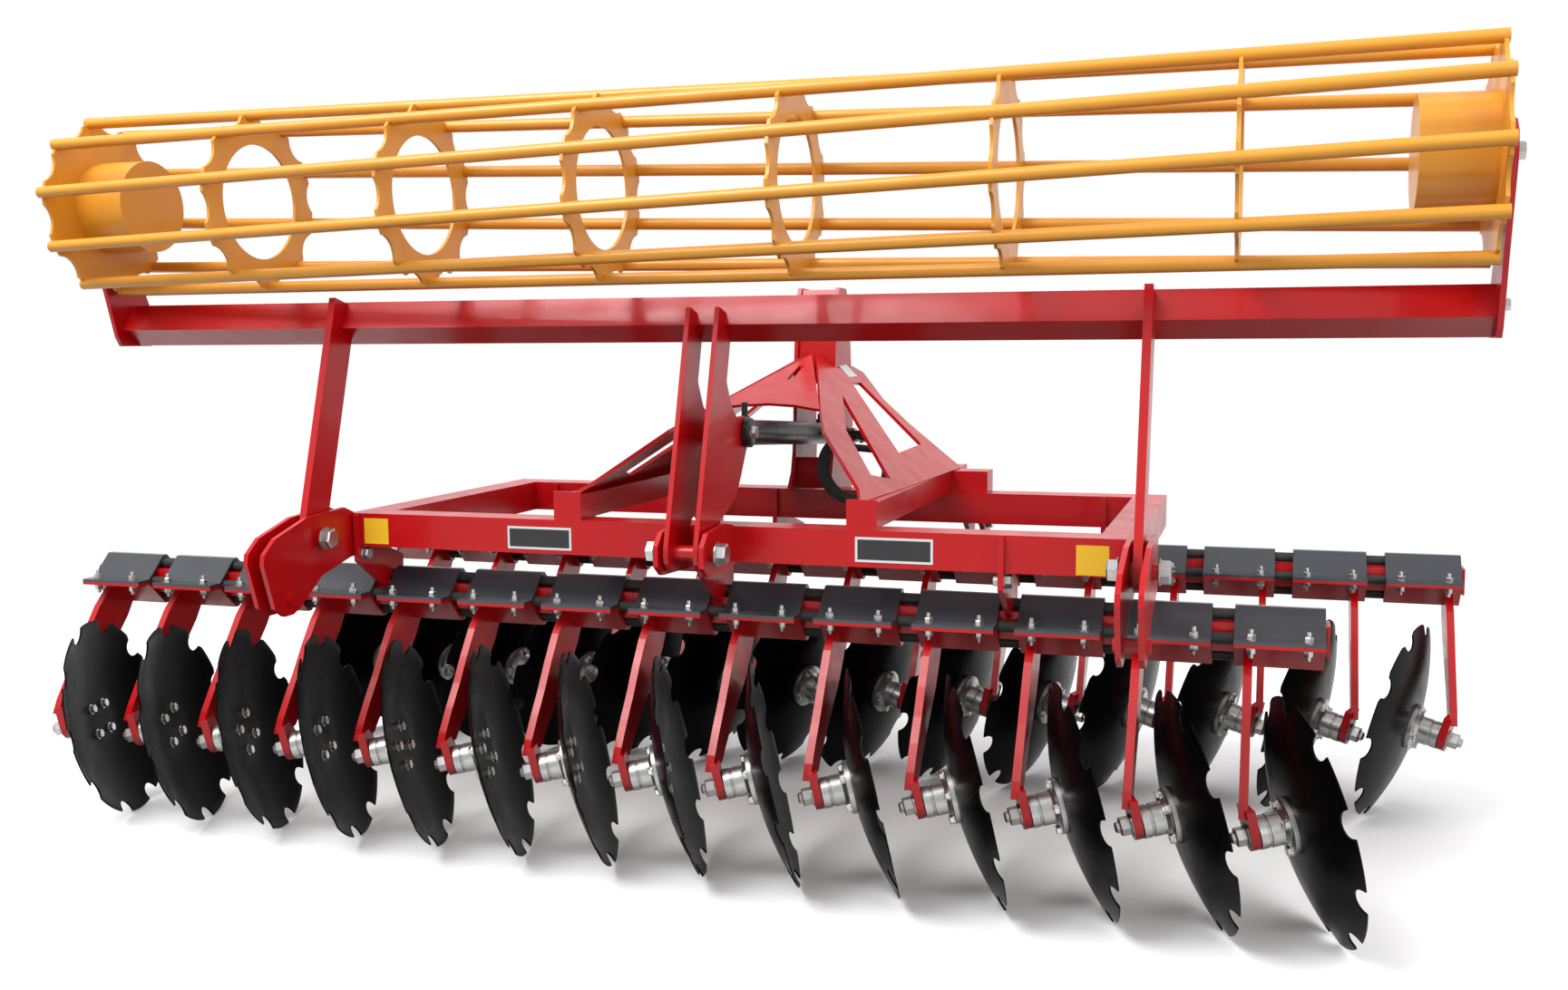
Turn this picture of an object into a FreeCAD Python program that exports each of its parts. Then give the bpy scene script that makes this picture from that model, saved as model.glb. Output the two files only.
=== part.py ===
import FreeCAD, Part
import math
import os

os.makedirs("parts", exist_ok=True)

V = FreeCAD.Vector

# Driving dimensions, mm.
# X across the machine, +Y the driving direction, Z up from the floor.
# Everything is drawn about the centre plane of the frame and moved once, at export.
SHIFT = V(71, -525.5, 0)

DISC_COUNT = 14
DISC_PITCH = 250
DISC_RADIUS = 280
DISC_PLATE = 6
DISC_SIDES = 20
DISC_FLAT = 80
DISC_BACK = 87
RIM_OFFSET = 136
NOTCH_RADIUS = 30
SWEEP = math.radians(18.4)
TILT = math.radians(12.6)
REAR_TAB_X = -1942
FRONT_TAB_X = -1450
ROW_SPACING = 975
HUB_Z = DISC_RADIUS * math.cos(TILT) - RIM_OFFSET * math.sin(TILT)

HUB_RADIUS = 38
HUB_GAP = 0.4
FLANGE_RADIUS = 65
FLANGE_THICK = 14
TAB_THICK = 20
TAB_RADIUS = 36
TAB_RISE = 62
ARM_OFFSET = 18

PAD_OFFSET = 50
PAD_WIDTH = 200
PAD_Y = 250
PAD_Z = 640
DISC_BEAM = 68
ROLL_RADIUS = 14
ROLL_GAP = 0.4
ROLL_OFFSET = DISC_BEAM / 2 + ROLL_RADIUS + ROLL_GAP
CLAMP_REACH = 116
CLAMP_PLATE = 8
CLAMP_DEPTH = ROLL_OFFSET + ROLL_RADIUS + 1.6
CLAMP_SLOPE_GAP = 0.354268
CLAMP_SHOULDER = ROLL_OFFSET + (ROLL_RADIUS + CLAMP_SLOPE_GAP) * math.sqrt(2)
BEAM_OVERHANG = 4
BEAM_WALL = 8
BEAM_CAP = 6

FRAME_TUBE = 90
FRAME_WALL = 8
FRAME_CAP = 6
FRAME_HALF = 1045
FRAME_TOP = 877
FRAME_LOW = FRAME_TOP - FRAME_TUBE
REAR_BEAM_Y = 98
FRONT_BEAM_Y = REAR_BEAM_Y + 908
CHANNEL_X = 392
CHANNEL_WIDTH = 60
CHANNEL_WALL = 6
CHANNEL_TOP = FRAME_TOP + 64
CHANNEL_REAR = REAR_BEAM_Y + 8
CHANNEL_FRONT = FRONT_BEAM_Y + 264
HANGER_THICK = 14

# The roller frame's parts are placed from its pivot, which sits behind the rear beam.
PIVOT_Y = REAR_BEAM_Y - 150
PIVOT_Z = FRAME_TOP - 49
PIVOT_RADIUS = 18
PIVOT_PLAY = 0.5
STOP_RADIUS = 16
ARM_X = FRAME_HALF + 15
ARM_THICK = 20
ARM_WIDTH = 95
ARM_LENGTH = 640
CHEEK_GAP = 8
CHEEK_THICK = 12
BACK_PLATE = 10
MIDDLE_CHEEK_X = 52
MIDDLE_X = 32
MIDDLE_THICK = 12
MIDDLE_LENGTH = 600
LEAN = math.atan2(160, 547)

ROLLER_BEAM_SIDE = 82
ROLLER_BEAM_WALL = 6
ROLLER_BEAM_HALF = 1770
ROLLER_BEAM_TURN = 31.6
ROLLER_BEAM_Y = PIVOT_Y + 208
ROLLER_BEAM_Z = PIVOT_Z + 560
END_THICK = 12
ROLLER_Y = PIVOT_Y + 94
ROLLER_Z = PIVOT_Z + 881
ROLLER_HALF = ROLLER_BEAM_HALF - 15
AXLE_STUB = 30
BAR_CIRCLE = 229
BAR_RADIUS = 15
BAR_COUNT = 10
BAR_START = 11.9
BAR_TWIST = -30
RING_COUNT = 8
RING_RADIUS = 226
RING_HOLE = 150
RING_THICK = 8
RING_INSET = 4
AXLE_RADIUS = 20
DRUM_RADIUS = 122
DRUM_LENGTH = 150
DRUM_WALL = 8

SCALLOP_RADIUS = 56
SCALLOP_CIRCLE = 262

LEVER_REACH = 406
LEVER_ANGLE = math.radians(42)
ANCHOR_Y = FRONT_BEAM_Y + 154
ANCHOR_Z = FRAME_TOP + 163
ANCHOR_RADIUS = 15
BARREL_RADIUS = 34
ROD_RADIUS = 20
ROD_GAP = 0.4
EYE_RADIUS = 34
EYE_WIDTH = 50
BARREL_STOP = 64
EYE_BLOCK = 54
HOSE_RADIUS = 10


def save(name, shape):
    """Move a node into the shared frame and write it."""
    shape = shape.copy()
    shape.translate(SHIFT)
    shape.exportStep("parts/" + name + ".step")


def box(x0, x1, y0, y1, z0, z1):
    return Part.makeBox(x1 - x0, y1 - y0, z1 - z0, V(x0, y0, z0))


def plate_yz(points, x0, x1):
    """A plate of constant thickness along X, its outline given as (Y, Z)."""
    wire = Part.makePolygon([V(x0, y, z) for y, z in points + points[:1]])
    return Part.Face(wire).extrude(V(x1 - x0, 0, 0))


def plate_3d(points, normal, thick):
    """A plate along any plane, half its thickness on each side of the outline."""
    start = normal * (-thick / 2)
    wire = Part.makePolygon([p + start for p in points + points[:1]])
    return Part.Face(wire).extrude(normal * thick)


def rod(start, end, radius):
    axis = end - start
    return Part.makeCylinder(radius, axis.Length, start, axis)


def rod_x(y, z, x0, x1, radius):
    return Part.makeCylinder(radius, x1 - x0, V(x0, y, z), V(1, 0, 0))


def about(points, y, z):
    """An outline drawn about a point, carried to where the point is."""
    return [(y + dy, z + dz) for dy, dz in points]


def joined(shapes):
    """One solid out of pieces that run into each other."""
    result = shapes[0].multiFuse(shapes[1:]) if len(shapes) > 1 else shapes[0]
    return result.removeSplitter()


def mirrored(shape):
    return shape.mirror(V(0, 0, 0), V(1, 0, 0))


def group(shapes):
    return Part.makeCompound(shapes)


def ring_of(radius, sides, z, turn=0.0):
    """A closed polygon with equal sides about the local Z axis."""
    step = 2 * math.pi / sides
    corners = [V(radius * math.cos(turn + k * step), radius * math.sin(turn + k * step), z)
               for k in range(sides)]
    return Part.makePolygon(corners + corners[:1])


def prism(radius, sides, z0, z1, turn=0.0):
    return Part.Face(ring_of(radius, sides, z0, turn)).extrude(V(0, 0, z1 - z0))


def placed(shape, origin, across, along, axis):
    """Set a shape drawn about the local origin on three directions of the frame."""
    turn = FreeCAD.Matrix(across.x, along.x, axis.x, origin.x,
                          across.y, along.y, axis.y, origin.y,
                          across.z, along.z, axis.z, origin.z,
                          0, 0, 0, 1)
    copy = shape.copy()
    copy.Placement = FreeCAD.Placement(turn).multiply(copy.Placement)
    return copy


# Each row: the X of its first tab, the Y of its tabs, +1 or -1 for the way it looks.
ROWS = (
    ("rear", REAR_TAB_X, 0, 1),
    ("front", FRONT_TAB_X, ROW_SPACING, -1),
)


def row_axes(side):
    """The hub axis of a row, the direction up the tab and the one across it."""
    axis = V(side * math.cos(TILT) * math.cos(SWEEP), math.cos(TILT) * math.sin(SWEEP), math.sin(TILT))
    up = V(0, 0, 1) - axis * axis.z
    up.normalize()
    across = up.cross(axis)
    return across, up, axis


# A notched dish: two hollow cones of flat sides, one inside the other.
def disc_plate():
    outer = Part.makeLoft([ring_of(DISC_FLAT, DISC_SIDES, DISC_BACK),
                           ring_of(DISC_RADIUS, DISC_SIDES, RIM_OFFSET)], True, True)
    inner = Part.makeLoft([ring_of(DISC_FLAT, DISC_SIDES, DISC_BACK),
                           ring_of(DISC_RADIUS, DISC_SIDES, RIM_OFFSET)], True, True)
    inner.translate(V(0, 0, DISC_PLATE))
    body = Part.makeLoft([ring_of(DISC_RADIUS, DISC_SIDES, RIM_OFFSET),
                          ring_of(DISC_RADIUS, DISC_SIDES, RIM_OFFSET + DISC_PLATE)], True, True)
    shell = outer.fuse(body).cut(inner)
    step = 2 * math.pi / 10
    for k in range(10):
        notch = prism(NOTCH_RADIUS, 8, DISC_BACK, RIM_OFFSET + 40, math.pi / 8)
        angle = step * k
        notch.translate(V((DISC_RADIUS - 4) * math.cos(angle), (DISC_RADIUS - 4) * math.sin(angle), 0))
        shell = shell.cut(notch)
    return shell


def hub():
    start = TAB_THICK / 2 + HUB_GAP
    barrel = prism(HUB_RADIUS, 16, start, DISC_BACK - FLANGE_THICK)
    flange = prism(FLANGE_RADIUS, 16, DISC_BACK - FLANGE_THICK, DISC_BACK)
    return barrel.fuse(flange)


disc_shape = joined([disc_plate(), hub()])

# The discs come to rest turned by different amounts.
TURNS = (0, 11, 25, 4, 31, 17, 8, 29, 14, 2, 22, 33, 6, 19)

for name, first_x, row_y, side in ROWS:
    across, up, axis = row_axes(side)
    for number in range(DISC_COUNT):
        centre = V(first_x + DISC_PITCH * number, row_y, HUB_Z)
        turned = disc_shape.copy()
        turned.rotate(V(0, 0, 0), V(0, 0, 1), TURNS[number] + (0 if side > 0 else 13))
        disc = placed(turned, centre, across, up, axis)
        save("disc_%s_%02d" % (name, number + 1), disc)

# The arm under each clamp, its outline about the tab as (Y, Z) with Z from the floor.
ARM_OUTLINE = [(200, 615.7), (241, 575), (259, 575), (300, 615.7), (292, 570), (262, 520),
               (214, 462), (160, 416), (112, 372), (66, 326), (38, 292), (-32, 284),
               (-14, 322), (24, 380), (64, 436), (104, 500), (150, 566)]
FLAT = CLAMP_SHOULDER - CLAMP_DEPTH
OUTER = CLAMP_DEPTH + CLAMP_PLATE
HALF_CLAMP = [(CLAMP_REACH, 0), (CLAMP_SHOULDER, 0), (FLAT, -CLAMP_DEPTH)]
HALF_OUTER = [(CLAMP_PLATE, -OUTER), (OUTER, -CLAMP_PLATE), (CLAMP_REACH, -CLAMP_PLATE)]
LOWER_CLAMP = ([(-y, z) for y, z in HALF_CLAMP] + HALF_CLAMP[::-1]
               + HALF_OUTER[::-1] + [(-y, z) for y, z in HALF_OUTER])
UPPER_CLAMP = [(y, -z) for y, z in LOWER_CLAMP]


def disc_arm(first_x, row_y, side, number):
    across, up, axis = row_axes(side)
    tab_x = first_x + DISC_PITCH * number
    centre = V(tab_x, row_y, HUB_Z)
    arm_x = tab_x - side * ARM_OFFSET
    outline = about(ARM_OUTLINE, row_y, 0)
    arm = plate_yz(outline, arm_x - TAB_THICK / 2, arm_x + TAB_THICK / 2)
    pad_x = tab_x + side * PAD_OFFSET
    clamp = plate_yz(about(LOWER_CLAMP, row_y + PAD_Y, PAD_Z),
                     pad_x - PAD_WIDTH / 2, pad_x + PAD_WIDTH / 2)
    half = TAB_THICK / 2
    tab_plate = Part.makeBox(2 * TAB_RADIUS, TAB_RISE, TAB_THICK, V(-TAB_RADIUS, 0, -half))
    tab_end = Part.makeCylinder(TAB_RADIUS, TAB_THICK, V(0, 0, -half), V(0, 0, 1))
    nut = prism(21, 6, -half - 26, -half)
    tab = placed(tab_plate.fuse(tab_end).fuse(nut), centre, across, up, axis)
    return joined([clamp, arm, tab])


for name, first_x, row_y, side in ROWS:
    pads = [first_x + side * PAD_OFFSET + DISC_PITCH * k for k in range(DISC_COUNT)]
    left = pads[0] - PAD_WIDTH / 2
    right = pads[-1] + PAD_WIDTH / 2
    y = row_y + PAD_Y
    arms = [disc_arm(first_x, row_y, side, k) for k in range(DISC_COUNT)]
    save(name + "_disc_arms", group(arms))
    cover = about(UPPER_CLAMP, y, PAD_Z)
    covers = [plate_yz(cover, x - PAD_WIDTH / 2, x + PAD_WIDTH / 2) for x in pads]
    save(name + "_clamp_covers", group(covers))
    rolls = [rod_x(y + dy * ROLL_OFFSET, PAD_Z + dz * ROLL_OFFSET, left, right, ROLL_RADIUS)
             for dy, dz in ((0, 1), (-1, 0), (0, -1), (1, 0))]
    save(name + "_rubber_rolls", group(rolls))
    half = DISC_BEAM / 2
    start = left - BEAM_OVERHANG
    end = right + BEAM_OVERHANG
    bore = half - BEAM_WALL
    beam = box(start, end, y - half, y + half, PAD_Z - half, PAD_Z + half)
    inside = box(start, end, y - bore, y + bore, PAD_Z - bore, PAD_Z + bore)
    cap = half + 3
    ends = [box(x, x + BEAM_CAP, y - cap, y + cap, PAD_Z - cap, PAD_Z + cap)
            for x in (start - BEAM_CAP, end)]
    save(name + "_disc_beam", joined([beam.cut(inside)] + ends))

# Hangers join the disc beams to the frame in gaps between the clamps.
# Each row: its name, the X of its first tab, the Y of its tabs, the way it looks, the beam above
# it, and which of the gaps below that beam hold a hanger, counted from the left end or right end.
HANGERS = (
    ("rear", REAR_TAB_X, 0, 1, REAR_BEAM_Y, (0, 4, -2)),
    ("front", FRONT_TAB_X, ROW_SPACING, -1, FRONT_BEAM_Y, (0, 3, -1)),
)
hangers = []
for name, first_x, row_y, side, beam_y, picks in HANGERS:
    y = row_y + PAD_Y
    half = DISC_BEAM / 2
    low = PAD_Z + half
    gaps = [first_x + side * PAD_OFFSET + DISC_PITCH * (k + 0.5) for k in range(DISC_COUNT - 1)]
    under = [x for x in gaps if abs(x) < FRAME_HALF - HANGER_THICK]
    places = [under[pick] for pick in picks]
    outline = [(beam_y - 14, FRAME_TOP - 4), (beam_y, FRAME_TOP - 4), (beam_y, FRAME_LOW),
               (beam_y + FRAME_TUBE, FRAME_LOW), (y + half + 18, FRAME_LOW - 50),
               (y + half + 12, low - 14), (y + half, low - 14), (y + half, low), (y - half, low),
               (y - half, low - 14), (y - half - 10, low - 14), (beam_y - 14, FRAME_LOW - 40)]
    slot_half = ROLL_RADIUS + ROLL_GAP
    start = gaps[0] - DISC_PITCH
    end = gaps[-1] + DISC_PITCH
    top_roll = rod_x(y, PAD_Z + ROLL_OFFSET, start, end, slot_half).fuse(
        box(start, end, y - slot_half, y + slot_half, low - 30, PAD_Z + ROLL_OFFSET))
    plates = [plate_yz(outline, x - HANGER_THICK / 2, x + HANGER_THICK / 2).cut(top_roll)
              for x in places]
    hangers.extend(plates)
    save(name + "_hangers", group(plates))

# The frame: two cross beams and two members along the machine.
def hollow(x0, x1, y0, y1, z0, z1, wall, open_x):
    outer = box(x0, x1, y0, y1, z0, z1)
    if open_x:
        return outer.cut(box(x0, x1, y0 + wall, y1 - wall, z0 + wall, z1 - wall))
    return outer.cut(box(x0 + wall, x1 - wall, y0, y1, z0 + wall, z1 - wall))


inner = FRAME_HALF - FRAME_CAP
for name, y0 in (("frame_rear_beam", REAR_BEAM_Y), ("frame_front_beam", FRONT_BEAM_Y)):
    y1 = y0 + FRAME_TUBE
    tube = hollow(-inner, inner, y0, y1, FRAME_LOW, FRAME_TOP, FRAME_WALL, True)
    caps = [box(x, x + FRAME_CAP, y0, y1, FRAME_LOW, FRAME_TOP) for x in (-FRAME_HALF, inner)]
    save(name, joined([tube] + caps))
members = [hollow(x, x + FRAME_TUBE, REAR_BEAM_Y + FRAME_TUBE, FRONT_BEAM_Y, FRAME_LOW, FRAME_TOP,
                  FRAME_WALL, False)
           for x in (-FRAME_HALF, FRAME_HALF - FRAME_TUBE)]
save("frame_side_members", group(members))

# Channels on top carry the pull to the lower links, their ends closed by plates.
channels = []
for x in (-CHANNEL_X, CHANNEL_X):
    x0 = x - CHANNEL_WIDTH / 2
    x1 = x + CHANNEL_WIDTH / 2
    channel = hollow(x0, x1, CHANNEL_REAR, CHANNEL_FRONT, FRAME_TOP, CHANNEL_TOP, CHANNEL_WALL, False)
    plate = box(x0 - 8, x1 + 8, CHANNEL_REAR - 6, CHANNEL_REAR, FRAME_TOP, CHANNEL_TOP + 10)
    outer_x = x1 if x > 0 else x0 - 110
    cross = box(outer_x, outer_x + 110, FRONT_BEAM_Y + 14, FRONT_BEAM_Y + 104, FRAME_TOP, CHANNEL_TOP)
    channels.append(joined([channel, plate, cross]))
save("hitch_channels", group(channels))

# Lower links: a cheek under each channel's front end with a pin that stands out to the side.
LINK_Y = CHANNEL_FRONT + 30
LINK_Z = FRAME_TOP - 115
LINK_X = CHANNEL_X + CHANNEL_WIDTH / 2
LINK_THICK = 15
LINK_GAP = 33
PIN_RADIUS = 14
PIN_LENGTH = 148
COLLAR_RADIUS = 26
COLLAR_WIDTH = 14
# About the pin, as (Y, Z), its top edge on the frame's top.
LINK_CHEEK = [(-200, 115), (-10, 115), (38, 38), (34, -36), (-38, -36), (-150, 38)]
links = []
pins = []
for side in (-1, 1):
    for x in (LINK_X, LINK_X + LINK_THICK + LINK_GAP):
        x0 = x if side > 0 else -x - LINK_THICK
        links.append(plate_yz(about(LINK_CHEEK, LINK_Y, LINK_Z), x0, x0 + LINK_THICK))
    near = LINK_X - 2
    start = near if side > 0 else -near - PIN_LENGTH
    shaft = rod_x(LINK_Y, LINK_Z, start, start + PIN_LENGTH, PIN_RADIUS)
    seat = LINK_X + 2 * LINK_THICK + LINK_GAP + 1
    collar_x = seat if side > 0 else -seat - COLLAR_WIDTH
    collar = rod_x(LINK_Y, LINK_Z, collar_x, collar_x + COLLAR_WIDTH, COLLAR_RADIUS)
    pins.append(joined([shaft, collar]))
cut_links = []
for plate in links:
    for pin in pins:
        plate = plate.cut(pin)
    cut_links.append(plate)
save("lower_link_cheeks", group(cut_links))
save("lower_link_pins", group(pins))

# Mast: two plates that carry the top link and the cylinder.
# About the front beam's rear top edge, as (Y, Z).
MAST = [(-76, 0), (-2, 0), (90, 0), (90, -97), (154, -97), (194, 0),
        (206, 123), (202, 223), (180, 423), (164, 563), (130, 613), (54, 615),
        (28, 563), (10, 423), (0, 303), (-6, 203), (-16, 113), (-34, 53)]
MAST_X = 54
MAST_THICK = 12
TOP_LINK_Y = FRONT_BEAM_Y + 94
TOP_LINK_Z = FRAME_TOP + 569
TOP_LINK_RADIUS = 13
mast = []
for x in (MAST_X, -MAST_X - MAST_THICK):
    plate = plate_yz(about(MAST, FRONT_BEAM_Y, FRAME_TOP), x, x + MAST_THICK)
    bore = rod_x(TOP_LINK_Y, TOP_LINK_Z, x - 1, x + MAST_THICK + 1, TOP_LINK_RADIUS)
    mast.append(plate.cut(bore))
pin_end = MAST_X + MAST_THICK + 6
anchor_pin = rod_x(ANCHOR_Y, ANCHOR_Z, -pin_end, pin_end, ANCHOR_RADIUS)
save("mast_plates", joined(mast + [anchor_pin]))

# Two fittings on the mast's right side, where the hoses leave.
FITTING_Z = 1000
HOSE_START = 100
FITTINGS = (1070, 1112)
fittings = []
for y in FITTINGS:
    base = Part.Face(Part.makePolygon([
        V(MAST_X + MAST_THICK, y + 17 * math.cos(math.pi * k / 3), FITTING_Z + 17 * math.sin(math.pi * k / 3))
        for k in range(7)])).extrude(V(16, 0, 0))
    fittings.append(joined([base, rod_x(y, FITTING_Z, MAST_X + MAST_THICK + 16, HOSE_START, 13)]))
save("hose_fittings", group(fittings))

# Both hoses lie wound in one coil, which hangs on a peg under the rib of the right fin.
COIL_X = 185
COIL_Z = 965
COIL_RADIUS = 100
COIL_FRONT = 866
COIL_WIDTH = 129
PEG_RADIUS = 8
PEG_GAP = 0.3
coil_back = COIL_FRONT - COIL_WIDTH
coil_axis = V(0, 1, 0)
coil_start = V(COIL_X, coil_back, COIL_Z)
coil = Part.makeCylinder(COIL_RADIUS + HOSE_RADIUS + 1, COIL_WIDTH, coil_start, coil_axis)
coil = coil.cut(Part.makeCylinder(COIL_RADIUS - HOSE_RADIUS - 1, COIL_WIDTH, coil_start, coil_axis))
peg_z = COIL_Z + COIL_RADIUS - HOSE_RADIUS - 1 - PEG_RADIUS - PEG_GAP
peg = Part.makeCylinder(PEG_RADIUS, COIL_WIDTH + 14, V(COIL_X, coil_back - 8, peg_z), coil_axis)
peg_disc = Part.makeCylinder(PEG_RADIUS + 8, 5, V(COIL_X, coil_back - 10, peg_z), coil_axis)
RUN_ENDS = (
    [(100, 1070, 1000), (130, 1070, 1000), (196, 1046, 996), (262, 980, 985), (284, 900, 972), (285, 867, 966)],
    [(100, 1112, 1000), (136, 1112, 1000), (236, 1078, 980), (296, 990, 950), (290, 900, 925), (274, 867, 915)],
)
runs = []
for route in RUN_ENDS:
    corners = [V(*point) for point in route]
    tube = [rod(a, b, HOSE_RADIUS) for a, b in zip(corners, corners[1:])]
    tube += [Part.makeSphere(HOSE_RADIUS, corner) for corner in corners[1:-1]]
    runs.append(joined(tube).cut(coil))
save("hose_runs", group(runs))
save("hose_coil", coil)

# Headstock fins lean like a roof from the mast down to the channels.
FIN_NORMAL = V(0.64572, -0.02867, 0.76303)
FIN_NORMAL.normalize()
FIN_THICK = 10
FIN = [(6, 1010, 1295), (66, 1012, 1245), (70, 1180, 1245), (96, 1217, 1226), (186, 1120, 1146), (270, 1101, 1074),
       (430, 1119, 940), (404, 495, 940), (385, 110, 941), (360, 188, 964), (217, 372, 1092),
       (161, 528, 1146)]
FIN_CUTS = (
    [(116, 1005, 1202), (124, 1085, 1200), (332, 1003, 1018), (328, 734, 1011)],
    [(143, 808, 1171), (230, 534, 1087), (345, 360, 983), (372, 460, 964)],
)


def on_fin(point):
    """Drop a point straight down or up onto the plane of the right fin."""
    x, y, _ = point
    top = V(0, 1020, 1300)
    z = top.z - (FIN_NORMAL.x * (x - top.x) + FIN_NORMAL.y * (y - top.y)) / FIN_NORMAL.z
    return V(x, y, z)


fin = plate_3d([on_fin(p) for p in FIN], FIN_NORMAL, FIN_THICK)
for corners in FIN_CUTS:
    fin = fin.cut(plate_3d([on_fin(p) for p in corners], FIN_NORMAL, FIN_THICK * 3))
fin = fin.common(box(4, 600, 0, 1400, CHANNEL_TOP, 1500))
mast_side = MAST_X + MAST_THICK
mast_block = box(-mast_side, mast_side, 1000, 1250, 870, 1500)
fin = fin.cut(mast_block)
web = box(COIL_X - 5, COIL_X + 5, COIL_FRONT + 2, COIL_FRONT + 14, peg_z - 14, 1200).cut(fin)
web = min(web.Solids, key=lambda s: s.CenterOfMass.z)
hose_peg = joined([web, peg, peg_disc])
fins = [joined([fin, hose_peg]), mirrored(fin)]

# A cover plate fills the ridge between the fins, over the cylinder.
ridge = V(0, 1000, 1292)
cover_points = [V(0, 985, 1288), V(161, 528, 1143), V(80, 560, 1153), V(0, 572, 1157),
                V(-80, 560, 1153), V(-161, 528, 1143)]
slope = (V(161, 528, 1143) - ridge).cross(V(-161, 528, 1143) - ridge)
slope.normalize()
flat = []
for p in cover_points:
    off = (p - ridge).dot(slope)
    flat.append(p - slope * off)
cover = plate_3d(flat, slope, 8)
slot = box(-8, 8, 760, 880, 1100, 1400)
cover = cover.cut(slot)
for side_fin in fins:
    cover = cover.cut(side_fin)
cover = cover.cut(mast_block)
save("headstock_fins", group(fins))
save("headstock_cover", cover)

# Pivot brackets of the roller arms, a pair of cheeks at each arm, bolted behind the rear beam.
# Both outlines are drawn about the pivot, as (Y, Z).
CHEEK = [(150, 52), (108, 69), (-55, 60), (-188, 22), (-233, -13), (-238, -38), (-200, -155),
         (-162, -180), (-128, -180), (-102, -170), (-1, -99), (125, -69), (150, -66)]
MIDDLE_CHEEK = [(150, 52), (92, 62), (-28, 52), (-60, 22), (-60, -28), (-28, -52), (150, -60)]
STOP_AT = (-138, -138)
back_y = REAR_BEAM_Y - BACK_PLATE
back_z = FRAME_LOW - 22
gap = ARM_THICK / 2 + CHEEK_GAP
brackets = []
for x in (-ARM_X, ARM_X):
    pair = [plate_yz(about(CHEEK, PIVOT_Y, PIVOT_Z), x + s, x + s + CHEEK_THICK)
            for s in (-gap - CHEEK_THICK, gap)]
    reach = gap + CHEEK_THICK
    pin = rod_x(PIVOT_Y, PIVOT_Z, x - reach - 14, x + reach + 14, PIVOT_RADIUS)
    stop = rod_x(PIVOT_Y + STOP_AT[0], PIVOT_Z + STOP_AT[1], x - reach - 10, x + reach + 10, STOP_RADIUS)
    back = box(x - reach, x + reach, back_y, REAR_BEAM_Y, back_z, FRAME_TOP)
    brackets.append(joined(pair + [pin, stop, back]))
far = MIDDLE_CHEEK_X + CHEEK_THICK
middle = [plate_yz(about(MIDDLE_CHEEK, PIVOT_Y, PIVOT_Z), x, x + CHEEK_THICK)
          for x in (-far, MIDDLE_CHEEK_X)]
middle_pin = rod_x(PIVOT_Y, PIVOT_Z, -far - 14, far + 14, PIVOT_RADIUS)
middle_back = box(-far, far, back_y, REAR_BEAM_Y, back_z, FRAME_TOP)
middle_bracket = joined(middle + [middle_pin, middle_back])
for plate in hangers:
    middle_bracket = middle_bracket.cut(plate)
brackets.append(middle_bracket)
save("roller_arm_brackets", group(brackets))

# Moving roller frame.
half = ROLLER_BEAM_SIDE / 2
core = half - ROLLER_BEAM_WALL
roller_beam_shape = box(-ROLLER_BEAM_HALF, ROLLER_BEAM_HALF, -half, half, -half, half)
roller_beam_core = box(-ROLLER_BEAM_HALF, ROLLER_BEAM_HALF, -core, core, -core, core)
beam_place = FreeCAD.Placement(V(0, ROLLER_BEAM_Y, ROLLER_BEAM_Z),
                               FreeCAD.Rotation(V(1, 0, 0), -ROLLER_BEAM_TURN))
roller_beam_shape.Placement = beam_place
roller_beam_core.Placement = beam_place
save("roller_beam", roller_beam_shape.cut(roller_beam_core))

arm_dir = V(0, math.sin(LEAN), math.cos(LEAN))
arm_side = V(0, math.cos(LEAN), -math.sin(LEAN))
pivot = V(0, PIVOT_Y, PIVOT_Z)


def arm_outline(length):
    half = ARM_WIDTH / 2
    corners = []
    for k in range(9):
        angle = math.pi * k / 8
        corners.append(pivot + arm_side * (half * math.cos(angle)) - arm_dir * (half * math.sin(angle)))
    corners.append(pivot - arm_side * half + arm_dir * length)
    corners.append(pivot + arm_side * half + arm_dir * length)
    return [(p.y, p.z) for p in corners]


bores = rod_x(PIVOT_Y, PIVOT_Z, -ARM_X - ARM_THICK, ARM_X + ARM_THICK, PIVOT_RADIUS + PIVOT_PLAY)
side_arms = []
for x in (-ARM_X, ARM_X):
    arm = plate_yz(arm_outline(ARM_LENGTH), x - ARM_THICK / 2, x + ARM_THICK / 2)
    side_arms.append(arm.cut(roller_beam_shape).cut(bores).Solids[0])
save("roller_side_arms", group(side_arms))

LEVER_Y = PIVOT_Y + LEVER_REACH * math.cos(LEVER_ANGLE)
LEVER_Z = PIVOT_Z + LEVER_REACH * math.sin(LEVER_ANGLE)
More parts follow.
